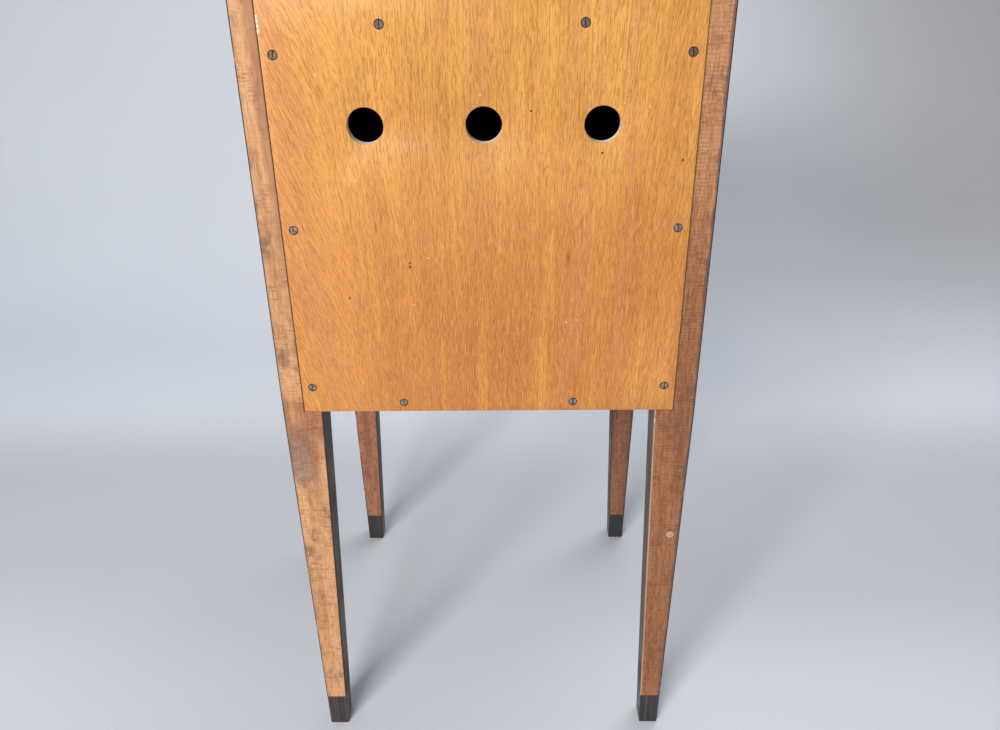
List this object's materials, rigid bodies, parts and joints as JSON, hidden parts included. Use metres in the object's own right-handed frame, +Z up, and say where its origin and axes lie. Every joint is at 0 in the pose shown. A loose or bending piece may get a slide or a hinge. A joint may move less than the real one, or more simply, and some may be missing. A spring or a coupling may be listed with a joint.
{
  "type": "nightstand",
  "caption": "Bedside cabinet on tapered legs with dark feet: a shallow drawer over a cupboard with a framed door, and a screwed plywood back with round vents.",
  "frame": {"origin": "on the floor, under the middle of the outline (top board across, front knobs to back panel in depth)", "axes": "+Z up, front with drawer and door towards -Y, plywood back towards +Y, +X to the right as seen from the front"},
  "size_m": [0.4, 0.3766, 0.7943],
  "materials": {
    "oak_veneer": "satin varnish over golden oak veneer",
    "brown_hardwood": "plain planed red-brown hardwood, polished dark on the outer sides",
    "dark_polish": "dark brown polish",
    "black_wood": "near-black streaked wood, satin",
    "pale_wood": "bare",
    "aged_steel": "aged, dark",
    "brass": "dull"
  },
  "bodies": {
    "case": {"leg_front_left": "brown_hardwood", "leg_front_right": "brown_hardwood", "leg_rear_left": "brown_hardwood", "leg_rear_right": "brown_hardwood", "foot_front_left": "black_wood", "foot_front_right": "black_wood", "foot_rear_left": "black_wood", "foot_rear_right": "black_wood", "leg_plug": "pale_wood", "side_left": "dark_polish", "side_right": "dark_polish", "bottom_board": "brown_hardwood", "top_board": "dark_polish", "top_front_rail": "dark_polish", "top_rear_rail": "pale_wood", "drawer_divider": "dark_polish", "dust_panel": "pale_wood", "drawer_runner_left": "pale_wood", "drawer_runner_right": "pale_wood", "kicker_left": "pale_wood", "kicker_right": "pale_wood", "drawer_stop_left": "pale_wood", "drawer_stop_right": "pale_wood", "door_stop": "pale_wood", "back_panel": "oak_veneer", "back_screw_01": "aged_steel", "back_screw_02": "aged_steel", "back_screw_03": "aged_steel", "back_screw_04": "aged_steel", "back_screw_05": "aged_steel", "back_screw_06": "aged_steel", "back_screw_07": "aged_steel", "back_screw_08": "aged_steel", "back_screw_09": "aged_steel", "back_screw_10": "aged_steel", "top_screw_front_left": "aged_steel", "top_screw_front_right": "aged_steel", "top_screw_rear_left": "aged_steel", "top_screw_rear_right": "aged_steel", "hinge_lower_case_leaf": "brass", "hinge_lower_pin": "brass", "hinge_upper_case_leaf": "brass", "hinge_upper_pin": "brass"},
    "drawer": {"drawer_front": "dark_polish", "drawer_side_left": "pale_wood", "drawer_side_right": "pale_wood", "drawer_back": "pale_wood", "drawer_bottom": "pale_wood", "drawer_knob": "black_wood"},
    "door": {"door_stile_hinge": "dark_polish", "door_stile_latch": "dark_polish", "door_rail_bottom": "dark_polish", "door_rail_top": "dark_polish", "door_panel": "brown_hardwood", "hinge_lower_door_leaf": "brass", "hinge_upper_door_leaf": "brass"},
    "latch": {"latch_knob": "black_wood", "latch_tongue": "pale_wood"}
  },
  "joints": [
    {"name": "drawer_slide", "type": "slide", "parent": "case", "child": "drawer", "axis": [0, -1, 0], "range_m": [0, 0.2]},
    {"name": "door_hinge", "type": "hinge", "parent": "case", "child": "door", "pos_m": [-0.15225, -0.16675, 0.5585], "axis": [0, 0, -1], "range_deg": [0, 170]},
    {"name": "latch_turn", "type": "hinge", "parent": "door", "child": "latch", "pos_m": [0.129, -0.16425, 0.5585], "axis": [0, -1, 0], "range_deg": [0, 90]}
  ]
}
